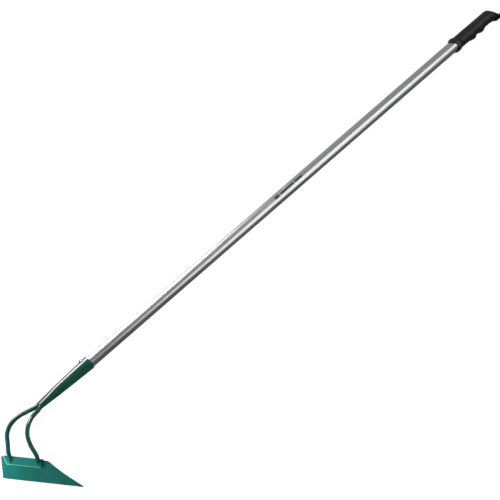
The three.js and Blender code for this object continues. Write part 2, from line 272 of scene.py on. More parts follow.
def blend_colours(tree, amount, first, second):
    mix = add(tree, "ShaderNodeMix", {"Factor": amount}, data_type="RGBA")
    for socket, colour in ((mix.inputs[6], first), (mix.inputs[7], second)):
        if isinstance(colour, bpy.types.NodeSocket):
            tree.links.new(colour, socket)
        else:
            socket.default_value = (*colour, 1)
    return mix.outputs[2]


def relief(tree, shader, height, depth, strength=1.0):
    """depth is the height of the relief in millimetres."""
    bump = add(tree, "ShaderNodeBump", {"Height": height, "Distance": depth * MM, "Strength": strength})
    tree.links.new(bump.outputs["Normal"], shader.inputs["Normal"])


def shaded(colour, factor):
    return tuple(min(channel * factor, 1) for channel in colour)


print("node helpers ready")

# %% [markdown]
# ## Enamel
# The blade and the socket are stove-enamelled steel. Wet enamel levels out, but never quite: it
# leaves a shallow orange peel, a slightly deeper colour where it lies thick, and a few specks of dust
# under the skin. A coat layer over a coloured base gives the two reflections that a lacquered
# surface has. The same rule makes all three paints; only the colour, the gloss and the depth of the
# peel differ. Along the cutting edge the paint is rubbed through to the steel.

# %% Enamels
BARE_STEEL = (0.42, 0.43, 0.43)


def enamel(name, colour, roughness, coat, coat_roughness, peel, home=Matrix(), worn_edge=False):
    """A paint whose orange peel is peel millimetres deep. A worn edge lies along home's X axis."""
    material, tree, shader = start_finish(
        name, Coat_Weight=coat, Coat_Roughness=coat_roughness, Specular_IOR_Level=0.2)
    place = own_coordinates(tree, home)
    depth = spread(tree, noise(tree, place, 22, 4), 0, 1)
    base = blend_colours(tree, depth, shaded(colour, 0.86), shaded(colour, 1.12))
    specks = spread(tree, noise(tree, place, 1900, 2), 0, 0.55, 0.68, 0.74)
    base = blend_colours(tree, specks, base, shaded(colour, 1.7))
    dull = spread(tree, noise(tree, place, 75, 5, 0.6), roughness * 0.85, roughness * 1.2)
    if worn_edge:
        height = add(tree, "ShaderNodeSeparateXYZ", {"Vector": place}).outputs["Y"]
        ragged = spread(tree, noise(tree, place, 260, 5, 0.65), -0.5 * MM, 0.6 * MM)
        metal = spread(tree, calculate(tree, "ADD", height, ragged), 1, 0, 0.4 * MM, 0.9 * MM)
        base = blend_colours(tree, metal, base, BARE_STEEL)
        tree.links.new(metal, shader.inputs["Metallic"])
    tree.links.new(base, shader.inputs["Base Color"])
    tree.links.new(dull, shader.inputs["Roughness"])
    skin = calculate(tree, "MULTIPLY", noise(tree, place, 620, 2), 0.5)
    swell = calculate(tree, "MULTIPLY", noise(tree, place, 120, 2), 1.5)
    relief(tree, shader, calculate(tree, "ADD", skin, swell), peel)
    return material


lean = math.radians(7)  # of the blade, away from the gardener
sheet_up = Vector((0, -math.sin(lean), math.cos(lean)))
sheet_back = Vector((0, math.cos(lean), math.sin(lean)))
blade_frame = frame_matrix(Vector((1, 0, 0)), sheet_up, -sheet_back, edge_middle)

blade_paint = enamel("teal_enamel", (0.0005, 0.082, 0.067), 0.42, 0.3, 0.22, 0.05, blade_frame, True)
bead_paint = enamel("teal_enamel_on_weld", (0.001, 0.11, 0.083), 0.34, 0.5, 0.14, 0.09)
socket_paint = enamel("dark_green_enamel", (0.0003, 0.064, 0.043), 0.3, 1.0, 0.1, 0.04)
print("enamels:", blade_paint.name, bead_paint.name, socket_paint.name)

# %% [markdown]
# ## Metal and plastic
# The tube is drawn aluminium: the die leaves fine lines along it, so noises stretched fifty times and
# more along the axis drive its tone, its roughness and its relief. Handling marks lie over them.
# The screw is bright zinc plate, which shows a faint mottle. The grip is a black moulding: its mould
# was spark-eroded to a fine grain, and the two halves of the mould left a parting line on each side.

# %% Metal and plastic finishes


def drawn_aluminium():
    material, tree, shader = start_finish("drawn_aluminium", Metallic=1.0, Anisotropic=0.35)
    lines = noise(tree, own_coordinates(tree, handle_frame, (1, 1, 0.008)), 2600, 4, 0.6)
    bands = noise(tree, own_coordinates(tree, handle_frame, (1, 1, 0.02)), 330, 3)
    marks = noise(tree, own_coordinates(tree, handle_frame, (1, 1, 3)), 90, 6, 0.6)
    clouds = noise(tree, own_coordinates(tree), 16, 4)
    tone = spread(tree, bands, 0, 1)
    base = blend_colours(tree, tone, (0.78, 0.785, 0.79), (0.86, 0.865, 0.87))
    scuffed = spread(tree, marks, 0, 0.2, 0.62, 0.74)
    base = blend_colours(tree, scuffed, base, (0.66, 0.665, 0.67))
    tree.links.new(base, shader.inputs["Base Color"])
    rough = calculate(tree, "ADD", spread(tree, lines, 0.26, 0.34), spread(tree, clouds, -0.03, 0.04))
    rough = calculate(tree, "ADD", rough, calculate(tree, "MULTIPLY", scuffed, 0.2))
    tree.links.new(rough, shader.inputs["Roughness"])
    relief(tree, shader, calculate(tree, "ADD", lines, bands), 0.002, 0.6)
    return material


def zinc_plate():
    material, tree, shader = start_finish("bright_zinc", Metallic=1.0)
    place = own_coordinates(tree)
    mottle = spread(tree, noise(tree, place, 900, 4, 0.6), 0, 1)
    tree.links.new(blend_colours(tree, mottle, (0.62, 0.63, 0.65), (0.78, 0.79, 0.8)),
                   shader.inputs["Base Color"])
    tree.links.new(spread(tree, noise(tree, place, 2500, 3), 0.16, 0.32), shader.inputs["Roughness"])
    relief(tree, shader, noise(tree, place, 1500, 3), 0.02)
    return material


def moulded_plastic():
    material, tree, shader = start_finish("black_moulding", Specular_IOR_Level=0.6)
    place = own_coordinates(tree, handle_frame)
    tone = spread(tree, noise(tree, place, 30, 4), 0, 1)
    tree.links.new(blend_colours(tree, tone, (0.006, 0.006, 0.0063), (0.01, 0.01, 0.0104)),
                   shader.inputs["Base Color"])
    tree.links.new(spread(tree, noise(tree, place, 90, 5, 0.6), 0.34, 0.42), shader.inputs["Roughness"])
    grain = noise(tree, place, 2100, 2, 0.6)
    underwards = add(tree, "ShaderNodeSeparateXYZ", {"Vector": place}).outputs["Y"]
    from_middle = add(tree, "ShaderNodeMath", {0: underwards}, operation="ABSOLUTE").outputs[0]
    parting = spread(tree, from_middle, 1.2, 0, 0.1 * MM, 0.35 * MM)
    relief(tree, shader, calculate(tree, "ADD", grain, parting), 0.04)
    return material


def printing_ink():
    material, tree, shader = start_finish("printing_ink", Specular_IOR_Level=0.4)
    place = own_coordinates(tree)
    thin_ink_and_edge_highlight = spread(tree, noise(tree, place, 1400, 4, 0.6), 0, 1, 0.45, 0.75)
    tree.links.new(blend_colours(tree, thin_ink_and_edge_highlight, (0.035, 0.038, 0.037), (0.09, 0.095, 0.093)),
                   shader.inputs["Base Color"])
    tree.links.new(spread(tree, noise(tree, place, 500), 0.35, 0.5), shader.inputs["Roughness"])
    relief(tree, shader, noise(tree, place, 3000, 2), 0.01)
    return material


aluminium = drawn_aluminium()
zinc = zinc_plate()
plastic = moulded_plastic()
ink = printing_ink()
print("finishes:", aluminium.name, zinc.name, plastic.name, ink.name)

# %% [markdown]
# ## The blade
# The blade starts as a flat blank of 2 mm sheet, cut with one square end and one long, slightly
# hollow slope that runs out to a point. Its cutting edge is ground on the gardener's side. A strip
# along the top is then folded outwards and left open, as a hem that stiffens the blade. It could be
# joined from boxes, but a folded sheet has one continuous skin, so here it is made as a press brake
# makes it: a grid of columns and rows is laid on the flat blank, and every row past the top is
# carried round the bend and down the leg of the hem. Each grid point then gets a front and a back.

# %% Blank of the blade
SHEET = 2
BLADE_HEIGHT = 45.5
BLADE_LEFT, BLADE_SHOULDER, BLADE_POINT = -72.5, 61, 153.5
POINT_HEIGHT = 1.5
SHOULDER_ROUND, SHOULDER_DROP = 6, 4
LOWER_CORNER, TOP_CORNER = 3.5, 1.5
EDGE_BEVEL, EDGE_LAND = 5, 1.3
HEM_LEFT, HEM_RIGHT = -62, 48
HEM_RADIUS, HEM_LEG = 2, 15
HEM_ANGLE = math.radians(159)

sheet_set = (SHEET - EDGE_LAND) / 2  # the middle of the sheet, behind the middle of the edge
sheet_frame = blade_frame @ Matrix.Translation((0, 0, -sheet_set * MM))


def quadratic(start, pull, end, steps=24):
    t = np.linspace(0, 1, steps)[:, None]
    return (1 - t) ** 2 * np.array(start) + 2 * t * (1 - t) * np.array(pull) + t ** 2 * np.array(end)


slope_start = (BLADE_SHOULDER - SHOULDER_ROUND, BLADE_HEIGHT)
slope_turn = (BLADE_SHOULDER + SHOULDER_ROUND, BLADE_HEIGHT - SHOULDER_DROP)
slope = np.vstack([
    quadratic(slope_start, (BLADE_SHOULDER + 1, BLADE_HEIGHT), slope_turn),
    quadratic(slope_turn, (BLADE_POINT - 50, BLADE_HEIGHT * 0.45), (BLADE_POINT, POINT_HEIGHT))[1:],
])


def quarter_rise(distance, radius):
    """Height of a rounded corner at a distance from the end it rounds."""
    flat = max(radius - distance, 0)
    return math.sqrt(max(radius ** 2 - flat ** 2, 0)) - radius


def blade_top(x):
    if x < slope_start[0]:
        return BLADE_HEIGHT + quarter_rise(x - BLADE_LEFT, TOP_CORNER)
    return float(np.interp(x, slope[:, 0], slope[:, 1]))


def blade_bottom(x):
    return -quarter_rise(x - BLADE_LEFT, LOWER_CORNER)


corner_turns = [math.radians(90) * i / 8 for i in range(8)]
columns = [BLADE_LEFT + LOWER_CORNER * (1 - math.cos(turn)) for turn in corner_turns]
stations = [BLADE_LEFT + LOWER_CORNER, HEM_LEFT, HEM_RIGHT, slope_start[0], slope_turn[0], BLADE_POINT]
for start, end, count in zip(stations, stations[1:], (3, 29, 2, 8, 39)):
    columns += [*np.linspace(start, end, count + 1)[:-1]]
columns.append(BLADE_POINT)
print("blank of", len(columns), "columns,", round(BLADE_POINT - BLADE_LEFT), "mm long")

# %% [markdown]
# The rows of the grid climb the plain sheet first. The lowest two lie on the ground bevel, where the
# back of the sheet comes forward to leave a land only 1.3 mm wide. Past the top, the rows go round
# the bend in equal angles and then down the open leg. The left end of the hem is mitred, so its rows
# get shorter as they go down.

# %% Fold and thickness
BEVEL_ROWS, BODY_ROWS, BEND_ROWS, LEG_ROWS = 2, 9, 14, 5


def body_row(x, row):
    """Height of a row on the plain sheet."""
    top, bottom = blade_top(x), blade_bottom(x)
    ground = bottom + min(EDGE_BEVEL, (top - bottom) * 0.5)
    if row <= BEVEL_ROWS:
        return bottom + (ground - bottom) * row / BEVEL_ROWS
    return ground + (top - ground) * (row - BEVEL_ROWS) / BODY_ROWS


def hem_row(row):
    """(out, up) of the middle of the sheet, and its (out, up) normal on the side of the back."""
    turn = HEM_ANGLE * min(row / BEND_ROWS, 1)
    normal = np.array([-math.cos(turn), math.sin(turn)])
    middle = np.array([HEM_RADIUS, BLADE_HEIGHT]) + HEM_RADIUS * normal
    if row > BEND_ROWS:
        down = np.array([math.sin(HEM_ANGLE), math.cos(HEM_ANGLE)])
        middle = middle + down * HEM_LEG * (row - BEND_ROWS) / LEG_ROWS
    return middle, normal


def blade_point(x, row, back):
    """A point of the front or the back skin in the blade's frame: x, up, out."""
    half = SHEET / 2
    if row <= BEVEL_ROWS + BODY_ROWS:
        up = body_row(x, row)
        out = half
        if back:
            rise = min((up - blade_bottom(x)) / EDGE_BEVEL, 1)
            out = -(EDGE_LAND - half) * (1 - rise) - half * rise
        if row == 0:
            up -= (sheet_set - out) * math.tan(lean)
        return (x, up, out)
    middle, normal = hem_row(row - BEVEL_ROWS - BODY_ROWS)
    out, up = middle + normal * (half if back else -half)
    mitre = max(BLADE_HEIGHT + 1 - up, 0)
    shrink = (HEM_RIGHT - HEM_LEFT - mitre) / (HEM_RIGHT - HEM_LEFT)
    return (HEM_RIGHT - (HEM_RIGHT - x) * shrink, up, out)


def make_blade():
    body_top = BEVEL_ROWS + BODY_ROWS
    hem_top = body_top + BEND_ROWS + LEG_ROWS
    in_hem = [HEM_LEFT - 0.01 <= x <= HEM_RIGHT + 0.01 for x in columns]
    cells = [(i, j) for i in range(len(columns) - 1)
             for j in range(hem_top if in_hem[i] and in_hem[i + 1] else body_top)]
    index, points = {}, []
    for i, x in enumerate(columns):
        for j in range((hem_top if in_hem[i] else body_top) + 1):
            for back in (False, True):
                index[i, j, back] = len(points)
                points.append(blade_point(x, j, back))
    faces, uses = [], {}
    for i, j in cells:
        loop = [(i, j), (i + 1, j), (i + 1, j + 1), (i, j + 1)]
        for back in (False, True):
            faces.append([index[a, b, back] for a, b in loop])
        for start, end in zip(loop, loop[1:] + loop[:1]):
            uses.setdefault(frozenset((start, end)), []).append((start, end))
    for start, end in (rim[0] for rim in uses.values() if len(rim) == 1):
        faces.append([index[*start, False], index[*end, False], index[*end, True], index[*start, True]])
    blade = make_object("folded_blade", points, faces, sheet_frame)
    round_edges(blade, 0.35, 3, 35)
    shade(blade)
    return blade


blade = make_blade()
print("folded blade:", len(blade.data.polygons), "faces")

# %% [markdown]
# Along the rim of the hem, the crest of the fold and the mitred end of the hem, a highlight is painted
# into the enamel: a lighter colour for edges that catch the light. Such a line is the same all along the
# sheet. So the material drops the place along it, and measures only how far it is from the line.

# %% Painted highlight on the fold
# the lighter colour of the painted highlight on the edges of the hem
EDGE_HIGHLIGHT_COLOUR = (0.09, 0.39, 0.32)
EDGE_HIGHLIGHT_WIDTH = (0.9, 1.7)  # painted highlight at its strongest inside the first distance, none outside the second


def paint_edge_highlight(material, home, lines):
    """Paints a lighter colour as a highlight along lines parallel to home's X axis, at (Y, Z) in
    millimetres.
    """
    tree = material.node_tree
    shader = tree.nodes["Principled BSDF"]
    base = shader.inputs["Base Color"].links[0].from_socket
    section = own_coordinates(tree, home, (0, 1, 1))
    ragged = spread(tree, noise(tree, own_coordinates(tree, home), 300, 4), -0.2 * MM, 0.2 * MM)
    for y, z in lines:
        line = {0: section, 1: (0, y * MM, z * MM)}
        gap = add(tree, "ShaderNodeVectorMath", line, operation="DISTANCE").outputs["Value"]
        gap = calculate(tree, "ADD", gap, ragged)
        # painted highlight: a lighter colour that fades out with the distance from the line
        thin_ink_and_edge_highlight = spread(tree, gap, 0.8, 0, EDGE_HIGHLIGHT_WIDTH[0] * MM, EDGE_HIGHLIGHT_WIDTH[1] * MM)
        base = blend_colours(tree, thin_ink_and_edge_highlight, base, EDGE_HIGHLIGHT_COLOUR)
    tree.links.new(base, shader.inputs["Base Color"])


free_edge = hem_row(BEND_ROWS + LEG_ROWS)[0]
crest = (BLADE_HEIGHT + HEM_RADIUS + SHEET / 2, HEM_RADIUS)  # (up, out), as sheet_frame's Y and Z
# painted highlight along the rim of the hem and the crest of the fold, then along the mitred end
paint_edge_highlight(blade_paint, sheet_frame, [(free_edge[1], free_edge[0]), crest])

mitre_top, mitre_foot = (Vector(blade_point(HEM_LEFT, BEVEL_ROWS + BODY_ROWS + row, True)) * MM
                         for row in (BEND_ROWS, BEND_ROWS + LEG_ROWS))
along_mitre = (mitre_foot - mitre_top).normalized()
beside = along_mitre.orthogonal().normalized()
mitre_frame = frame_matrix(along_mitre, beside, along_mitre.cross(beside), mitre_top)
paint_edge_highlight(blade_paint, sheet_frame @ mitre_frame, [(0, 0)])
finish_piece(blade, blade_paint, "blade_paint", "blade")

# %% [markdown]
# ## The arms
# Two 9 mm rods leave the small end of the socket side by side, bow out and forward, and come down on
# the hem of the blade. A chain of cylinders would show its joints, so a circle is carried along one
# smooth curve through a few given points, turned from ring to ring only as much as the curve
# turns. Each foot is cut on the slant of the hem, and what would run out to a thin tongue is sawn off.

# %% Route of an arm
ROD = 9
FOOT_SPREAD = 38.5
FOOT_PLACE = 0.3
ARM_SEAT = 44
BLUNT = 3.2  # how far the sawn end of an arm reaches past its foot
ARM_INSET = 0.02  # keeps the finished arm inside its design
SEAT_GAP = 0.3
SUNK = 0.3  # how far the foot of an arm goes into the skin of the hem

down_hem = -sheet_back * math.sin(HEM_ANGLE) + sheet_up * math.cos(HEM_ANGLE)
hem_face = down_hem.cross(Vector((1, 0, 0))).normalized()
into_head = head_frame.inverted() @ handle_frame


def blade_to_head(x, up, out):
    return (head_frame.inverted() @ sheet_frame @ (Vector((x, up, out)) * MM)) / MM


def handle_to_head(x, y, z):
    return (into_head @ (Vector((x, y, z)) * MM)) / MM


bend_end, _ = hem_row(BEND_ROWS)
foot_middle = blade_to_head(0, bend_end[1], bend_end[0]) + down_hem * HEM_LEG * FOOT_PLACE
foot_middle += hem_face * SHEET / 2


def foot_and_shin(sign):
    """Where an arm meets the hem, and the way it comes down to it."""
    foot = Vector((sign * FOOT_SPREAD, foot_middle.y, foot_middle.z))
    return foot, Vector((sign * 0.12, -0.4, 1)).normalized()


def arm_points(sign):
    """From the seat in the socket, round the bow, down the shin and past the foot."""
    seat = sign * (ROD / 2 + SEAT_GAP)
    foot, shin = foot_and_shin(sign)
    bow = [(8.8, 21.5, 143.2), (12.4, 12, 139), (19.8, -11, 128), (25.4, -26.5, 112), (29, -31, 95),
           (33, -25.5, 75)]
    return [handle_to_head(seat, 0, ARM_SEAT), handle_to_head(seat, 0, ARM_SEAT * 0.64),
            handle_to_head(seat, 0, 10), handle_to_head(seat * 1.03, 0, 1),
            *[Vector((sign * x, y, z)) for x, y, z in bow],
            foot + shin * 14, foot, foot - shin * 9]


def smooth_route(points, steps=14):
    """Centripetal Catmull-Rom curve through the points."""
    ends = [points[0] * 2 - points[1], *points, points[-1] * 2 - points[-2]]
    route = []
    for a, b, c, d in zip(ends, ends[1:], ends[2:], ends[3:]):
        gaps = [math.sqrt((q - p).length) for p, q in ((a, b), (b, c), (c, d))]
        leave = ((b - a) / gaps[0] - (c - a) / (gaps[0] + gaps[1]) + (c - b) / gaps[1]) * gaps[1]
        arrive = ((c - b) / gaps[1] - (d - b) / (gaps[1] + gaps[2]) + (d - c) / gaps[2]) * gaps[1]
        for k in range(steps):
            t = k / steps
            route.append(b * (2 * t ** 3 - 3 * t ** 2 + 1) + leave * (t ** 3 - 2 * t ** 2 + t)
                         + c * (3 * t ** 2 - 2 * t ** 3) + arrive * (t ** 3 - t ** 2))
    return route + [points[-1]]


print("feet stand", round(foot_middle.z, 1), "mm above the ground")

# %% Bars along a route


def sweep_rings(route, radius, sides):
    """Rings of a round bar along a route, carried without twist, and the direction at each."""
    heads = [(b - a).normalized() for a, b in zip(route, route[1:])]
    directions = [heads[0], *[(a + b).normalized() for a, b in zip(heads, heads[1:])], heads[-1]]
    across = directions[0].orthogonal().normalized()
    rings = []
    for number, (point, direction) in enumerate(zip(route, directions)):
        if number:
            across = directions[number - 1].rotation_difference(direction) @ across
        other = direction.cross(across)
        turns = [2 * math.pi * i / sides for i in range(sides)]
        rings.append([point + (across * math.cos(t) + other * math.sin(t)) * radius for t in turns])
    return rings, directions


def make_arm(name, sign):
    foot, shin = foot_and_shin(sign)
    clear_of_hem = ROD * 0.85
    kept = [p for p in smooth_route(arm_points(sign)) if (p - foot).dot(shin) > clear_of_hem]
    rings, directions = sweep_rings(kept, ROD / 2 - ARM_INSET, 36)
    aim = directions[-1]
    sunk = foot - hem_face * SUNK
    longest = (foot - kept[-1]).dot(aim) + BLUNT
    reach = [(sunk - p).dot(hem_face) / aim.dot(hem_face) for p in rings[-1]]
    rings.append([p + aim * min(length, longest) for p, length in zip(rings[-1], reach)])
    points, indices = number_rings(rings)
    arm = make_object(name, points, bridge(indices) + [indices[0], indices[-1]], head_frame)
    round_edges(arm, 0.25, 2, 60)
    shade(arm)
    return arm


for name, sign in (("left", -1), ("right", 1)):
    finish_piece(make_arm(f"rod_{name}", sign), socket_paint, "socket_paint", f"arm_{name}")

# %% [markdown]
# ## The welds
# Each foot sits in a fillet weld. A weld is laid down drop after drop, so the bead is a ring of small
# overlapping crescents, not a smooth torus. The ring follows the oval where the slanting rod meets
# the hem, and a wave along it makes the crescents. It thins out towards the fold, where a torch can't
# reach. The small end of the socket is closed by one broad bead round both rods.

# %% Foot welds
BEAD_RADIUS = 1.7
BEAD_PATH = (5.0, 6.5)  # half-width and half-length of the oval that the bead follows
BEAD_DROPS = 17
BEAD_AT_FOLD = 0.15  # how much of the bead's thickness is left at the fold
BEAD_PULL = 0.3  # how far it is drawn in there


def smoothstep(value, start, end):
    t = min(max((value - start) / (end - start), 0), 1)
    return t * t * (3 - 2 * t)


def drop_wave(turn, drops, shift):
    """1 in the middle of each drop, and about a third of that in the crease between two."""
    phase = (turn / (2 * math.pi) * drops + shift) % 1
    return math.sqrt(1 - (phase * 2 - 1) ** 2 * 0.9)


def make_foot_weld(name, sign):
    around, section = 170, 14
    half_width, half_length = BEAD_PATH
    across_hem, up_hem = Vector((1, 0, 0)), -down_hem
    foot, _ = foot_and_shin(sign)
    rings = []
    for i in range(around):
        turn = 2 * math.pi * i / around
        outward = across_hem * math.cos(turn) * half_length + up_hem * math.sin(turn) * half_width
        outward = outward.normalized()
        laid = BEAD_AT_FOLD + (1 - BEAD_AT_FOLD) * smoothstep(-math.sin(turn), -0.7, 0.2)
        path = across_hem * math.cos(turn) * half_width + up_hem * math.sin(turn) * half_length
        path = foot + path * (1 - BEAD_PULL * (1 - laid))
        ring = []
        for k in range(section):
            lift = 2 * math.pi * k / section
            radius = BEAD_RADIUS * laid
            radius *= 0.8 + 0.2 * drop_wave(turn, BEAD_DROPS, 0.12 * math.cos(lift))
            ring.append(path + (outward * math.cos(lift) + hem_face * math.sin(lift) * 0.9) * radius)
        rings.append(ring)
    points, indices = number_rings(rings)
    weld = make_object(name, points, bridge(indices, closed=True), head_frame)
    shade(weld, 80)
    return weld


for name, sign in (("left", -1), ("right", 1)):
    weld = make_foot_weld(f"foot_bead_{name}", sign)
    finish_piece(weld, bead_paint, "blade_paint", f"foot_weld_{name}")

# %% Bead that closes the socket
SOCKET_LENGTH = 137
SOCKET_FOOT_R, SOCKET_MOUTH_R = 8.8, 14.5
SOCKET_WALL = 1.6
SOCKET_OVAL = 60
SOCKET_SPREAD, SOCKET_PINCH = 0.32, 0.12
SOCKET_BEAD = (SOCKET_FOOT_R + 1, SOCKET_FOOT_R - 1.2, 3.3)  # half-width, half-depth, half-height


def make_socket_bead():
    """A squat, rippled ball, open at its poles until the last faces close them."""
    around, rows, ripples = 96, 24, 13
    half_width, half_depth, half_height = SOCKET_BEAD
    rings = []
    for j in range(1, rows):
        tilt = math.pi * j / rows
        ring = []
        for i in range(around):
            turn = 2 * math.pi * i / around
            ripple = drop_wave(turn, ripples, 0.25 * math.sin(2 * turn)) * math.sin(tilt) ** 2
            reach = math.sin(tilt) * (1 + 0.05 * ripple)
            ring.append((math.cos(turn) * reach * half_width, math.sin(turn) * reach * half_depth,
                         -math.cos(tilt) * half_height))
        rings.append(ring)
    points, indices = number_rings(rings)
    faces = bridge(indices) + [indices[0], indices[-1]]
    bead = make_object("socket_bead", points, faces, handle_frame)
    shade(bead, 80)
    return bead


finish_piece(make_socket_bead(), socket_paint, "socket_paint", "socket_weld")

# %% [markdown]
# ## The socket
# The socket is rolled and drawn from sheet: round at its mouth, where the tube goes in, and pressed
# to an oval over the last 60 mm, where it closes on the two rods. It is turned like a pot, as one
# closed section with an inside and an outside, and the oval is pressed into the rings afterwards.
# Between the rods the press leaves a shallow valley on both flats, which gives the end its waist.

# %% Socket
VALLEY, VALLEY_WIDTH = 0.9, 3.2  # depth in the middle, and how fast it runs out to the sides


def socket_radius(z):
    return SOCKET_FOOT_R + (SOCKET_MOUTH_R - SOCKET_FOOT_R) * z / SOCKET_LENGTH


def press_oval(x, y, z):
    """Moves a point of the round sleeve to where the press leaves it."""
    flat = 1 - smoothstep(z, 0, SOCKET_OVAL)
    valley = VALLEY * (1 - smoothstep(z, 0, SOCKET_OVAL * 0.7)) * math.exp(-(x / VALLEY_WIDTH) ** 2)
    pressed = y * (1 - SOCKET_PINCH * flat)
    return (x * (1 + SOCKET_SPREAD * flat), pressed - math.copysign(min(valley, abs(pressed)), y), z)


def make_socket():
    heights = [*range(0, SOCKET_OVAL, 3), *range(SOCKET_OVAL, SOCKET_LENGTH, 11), SOCKET_LENGTH]
    outer = [(socket_radius(z), z) for z in heights]
    inner = [(r - SOCKET_WALL, z) for r, z in reversed(outer)]
    socket = lathe("pressed_socket", outer + inner, 96, handle_frame, closed=True, shape=press_oval)
    round_edges(socket, 0.55, 4)
    shade(socket)
    return socket


finish_piece(make_socket(), socket_paint, "socket_paint", "socket")

# %% [markdown]
# ## The tube
# The handle is one straight aluminium tube. Its lower end is swaged down so that it drives into the
# tapering socket, and its upper end is hidden in the grip. A turned section is the right tool for
# it: two walls and two rounded lips. The finish does the rest, because a plain tube is only as
# convincing as the way that it reflects the room.

# %% Tube
TUBE_R, TUBE_WALL = 12.5, 1.3
TUBE_SEAT = 70
TUBE_FIT = SEAT_GAP + 0.05  # clearance of the swaged end in the socket
GRIP_START = 1200
TUBE_IN_GRIP = 100


def make_tube():
    seat_top = SOCKET_LENGTH - 2
    seat_foot = seat_top - TUBE_SEAT
    fit = SOCKET_WALL + TUBE_FIT
    straight = np.linspace(SOCKET_LENGTH + 1, GRIP_START + TUBE_IN_GRIP, 60)
    outer = [(socket_radius(seat_foot) - fit, seat_foot), (socket_radius(seat_top) - fit, seat_top)]
    outer += [(TUBE_R, float(z)) for z in straight]
    inner = [(r - TUBE_WALL, z) for r, z in reversed(outer)]
    tube = lathe("drawn_tube", outer + inner, 128, handle_frame, closed=True)
    round_edges(tube, 0.3, 3)
    shade(tube)
    return tube


finish_piece(make_tube(), aluminium, "tube_aluminium", "handle_tube")

# %% [markdown]
# Half-way up, such a tube carries a printed mark. Here it is only a plain block and two plain
# bars, with no letters. Ink lies on the metal as a skin a few hundredths of a millimetre thick, so
# each bar is a small curved plate just proud of the tube.

# %% Printed bars
MARK_START = 664
MARK_TURN = math.radians(-35)
INK_FOOT, INK_TOP = 0.01, 0.05  # above the metal
# (start, length, low, high) of each bar
MARK_BARS = [(0, 12, -3.8, 3.4), (16, 38, -2.6, 2.6), (58, 21, -2.6, 2.6)]


def curved_plate(start, length, low, high):
    """Rings of one bar: low and high are measured round the tube, in millimetres."""
    steps = 10
    rings = []
    for z in (start, start + length):
        ring = []
        for radius, order in ((TUBE_R + INK_FOOT, range(steps + 1)),
                              (TUBE_R + INK_TOP, range(steps, -1, -1))):
            for k in order:
                turn = MARK_TURN + (low + (high - low) * k / steps) / TUBE_R
                ring.append((radius * math.cos(turn), radius * math.sin(turn), z))
        rings.append(ring)
    return rings


def make_mark():
    points, faces = [], []
    for start, length, low, high in MARK_BARS:
        more, indices = number_rings(curved_plate(MARK_START + start, length, low, high))
        shift = len(points)
        points += more
        faces += [[i + shift for i in face] for face in bridge(indices) + indices]
    return make_object("printed_bars", points, faces, handle_frame)


finish_piece(make_mark(), ink, "tube_aluminium")

# %% [markdown]
# ## The screw
# One screw holds the tube in the socket. Its pan head is turned from a short profile, and two crossed
# slots are cut out of it with a boolean, as the punch does on the real one. The cut is made before
# the edges are rounded, so that the recess catches the light too.

# %% Screw
SCREW_ALONG = 124
SHANK, HEAD, HEAD_HEIGHT, SCREW_LENGTH = 3.9, 9.5, 2.8, 11
SCREW_TIP = 2.5
RECESS_SPAN, RECESS = HEAD * 0.52, 3.2


def cut_box(obj, size, place):
    """Cuts a block of a size, in a place of its own, out of a piece."""
    corners = [(x, y, z) for x in (-1, 1) for y in (-1, 1) for z in (-1, 1)]
    points = [(x * size[0] / 2, y * size[1] / 2, z * size[2] / 2) for x, y, z in corners]
    faces = [(0, 1, 3, 2), (4, 6, 7, 5), (0, 4, 5, 1), (2, 3, 7, 6), (0, 2, 6, 4), (1, 5, 7, 3)]
    block = make_object("cutter", points, faces, place)
    cut = obj.modifiers.new("cross recess", "BOOLEAN")
    cut.object = block
    cut.solver = "EXACT"
    apply_modifiers(obj)
    bpy.data.objects.remove(block)


def make_screw():
    dome = [(HEAD / 2 * math.cos(a), HEAD_HEIGHT * (0.35 + 0.65 * math.sin(a)))
            for a in np.linspace(0, math.pi / 2 * 0.97, 9)]
    profile = [(0.01, -SCREW_LENGTH), (SHANK * 0.2, -SCREW_LENGTH), (SHANK / 2, SCREW_TIP - SCREW_LENGTH),
               (SHANK / 2, 0), (HEAD / 2, 0), *dome]
    seat = socket_radius(SCREW_ALONG)
    upwards = frame_matrix(Vector((1, 0, 0)), Vector((0, 0, 1)), Vector((0, -1, 0)),
                           Vector((0, -seat, SCREW_ALONG)) * MM)
    points, indices = number_rings([turn_ring(r, z, 64) for r, z in profile])
    faces = bridge(indices) + [indices[0], indices[-1]]
    screw = make_object("pan_head_screw", points, faces, handle_frame @ upwards)
    top = handle_frame @ upwards @ Matrix.Translation((0, 0, HEAD_HEIGHT * MM))
    for turn in (0, math.pi / 2):
        cut_box(screw, (RECESS_SPAN, RECESS / 3, RECESS), top @ Matrix.Rotation(turn, 4, "Z"))
    round_edges(screw, 0.12, 2, 50)
    shade(screw, 45)
    return screw


finish_piece(make_screw(), zinc, "screw_zinc", "socket_screw")

# %% [markdown]
# ## The grip
# The grip is a moulded sleeve. Its mouth has a rounded collar that is scooped back at both sides, its
# underside swells into two finger ridges and a heel, and its end is cut on a slant and closed by a
# soft dome. One rule gives the skin: a radius that depends on the place along the grip and on the
# turn round it. Rings of that rule make a denser and smoother skin than joined primitives would.

# %% Skin of the grip
GRIP_LENGTH = 131.5
GRIP_R, GRIP_TAPER = 14.3, 0.5
LIP_BULGE, LIP_LENGTH, LIP_SCOOP = 2.3, 17, 9
RIDGE_HEIGHT, HEEL_DROP = 3.9, 4.4
RIDGES = [(36, 57, 65), (65, 81, 90)]
HEEL_RISE = (96, 118)
END_SLANT, END_DEPTH, END_ROUND = 0.7, 12, 3
SHOULDER = 0.86  # share of the rings that the body takes before the end closes
MOUTH_ROUND = 0.6
BODY_RINGS, END_RINGS, GRIP_SIDES = 130, 34, 112
BORE_R = TUBE_R + SEAT_GAP


def under_height(z):
    ridges = [smoothstep(z, a, b) * (1 - smoothstep(z, b, c)) for a, b, c in RIDGES]
    return RIDGE_HEIGHT * max(ridges) + HEEL_DROP * smoothstep(z, *HEEL_RISE)


def mouth_scoop(turn, z):
    return LIP_SCOOP * math.cos(turn) ** 2 * (1 - smoothstep(z, 0, 45))


